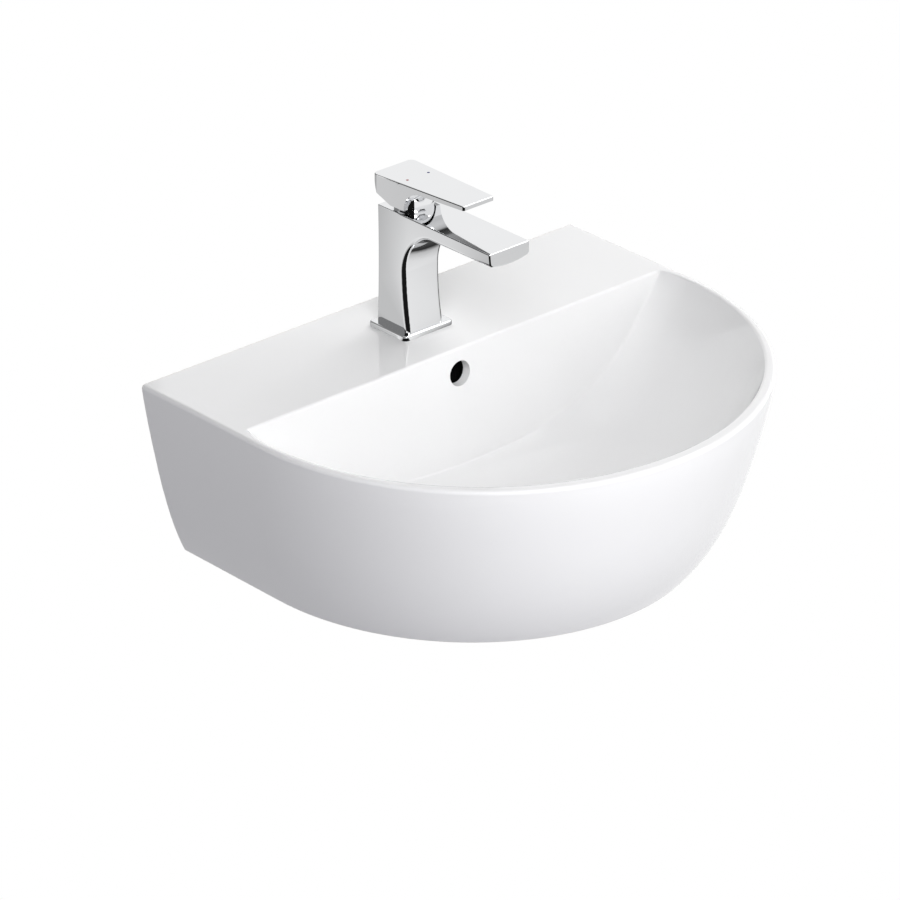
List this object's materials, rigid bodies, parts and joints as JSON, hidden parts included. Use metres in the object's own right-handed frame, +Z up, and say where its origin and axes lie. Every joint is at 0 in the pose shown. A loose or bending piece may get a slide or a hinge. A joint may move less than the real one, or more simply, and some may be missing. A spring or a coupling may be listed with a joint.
{
  "type": "wall-hung basin with mixer tap",
  "caption": "Wall-hung D-shaped ceramic basin with a flat deck, an oval bowl, an overflow, a chrome single-lever mixer tap and a push-to-open waste.",
  "frame": {"origin": "On the flat back of the basin, midway between its two wall-bolt holes", "axes": "+Z up, +X to the right as seen from the front, +Y into the wall, so that the bowl and the spout face -Y"},
  "size_m": [0.4992, 0.4067, 0.3545],
  "materials": {
    "glaze": "white gloss glaze",
    "chrome": "polished chrome plate on brass",
    "steel": "zinc-plated or stainless steel",
    "brass": "machined brass",
    "rubber": "matt black rubber",
    "white_plastic": "white moulded plastic",
    "grey_plastic": "grey moulded plastic",
    "disc_ceramic": "lapped technical ceramic",
    "chrome_plastic": "silver gloss plastic",
    "red_mark": "red enamel",
    "blue_mark": "blue enamel"
  },
  "bodies": {
    "fixed": {"aerator_insert": "white_plastic", "aerator_shell": "chrome", "aerator_washer": "rubber", "basin": "glaze", "cartridge_base": "grey_plastic", "cartridge_oring": "rubber", "cartridge_shell": "grey_plastic", "clamp_gasket": "rubber", "clamp_plate": "steel", "click_sleeve": "white_plastic", "click_spring": "steel", "dome_cover": "chrome", "fixed_disc": "disc_ceramic", "fixing_stud": "steel", "lower_seal": "rubber", "port_seals": "rubber", "retaining_nut": "brass", "slip_washer": "grey_plastic", "stud_nut": "steel", "tap_base_plate": "chrome", "tap_base_seal": "rubber", "tap_body": "chrome", "waste_body": "chrome", "waste_gasket": "rubber", "waste_locknut": "brass"},
    "swivel": {"stem_guide": "white_plastic", "pivot_pin": "steel"},
    "handle": {"lever": "chrome", "lever_stem": "brass", "lever_grub_screw": "steel", "grub_cover": "chrome_plastic", "hot_mark": "red_mark", "cold_mark": "blue_mark"},
    "disc": {"moving_disc": "disc_ceramic", "disc_carrier": "grey_plastic"},
    "plug": {"waste_cap": "chrome", "cap_seal": "rubber", "cap_stem": "brass"}
  },
  "joints": [
    {"name": "lever_swivel", "type": "hinge", "parent": "fixed", "child": "swivel", "pos_m": [0, -0.067, 0.203], "axis": [0, 0, 1], "range_deg": [-45, 45]},
    {"name": "lever_lift", "type": "hinge", "parent": "swivel", "child": "handle", "pos_m": [0, -0.067, 0.203], "axis": [-1, 0, 0], "range_deg": [0, 20]},
    {"name": "disc_slide", "type": "slide", "parent": "swivel", "child": "disc", "axis": [0, -1, 0], "range_m": [0, 0.00455]},
    {"name": "plug_lift", "type": "slide", "parent": "fixed", "child": "plug", "axis": [0, 0, 1], "range_m": [0, 0.009], "deforming": ["click_spring"]}
  ],
  "couplings": [
    {"joint": "disc_slide", "follows": "lever_lift", "m_per_rad": 0.012934}
  ]
}
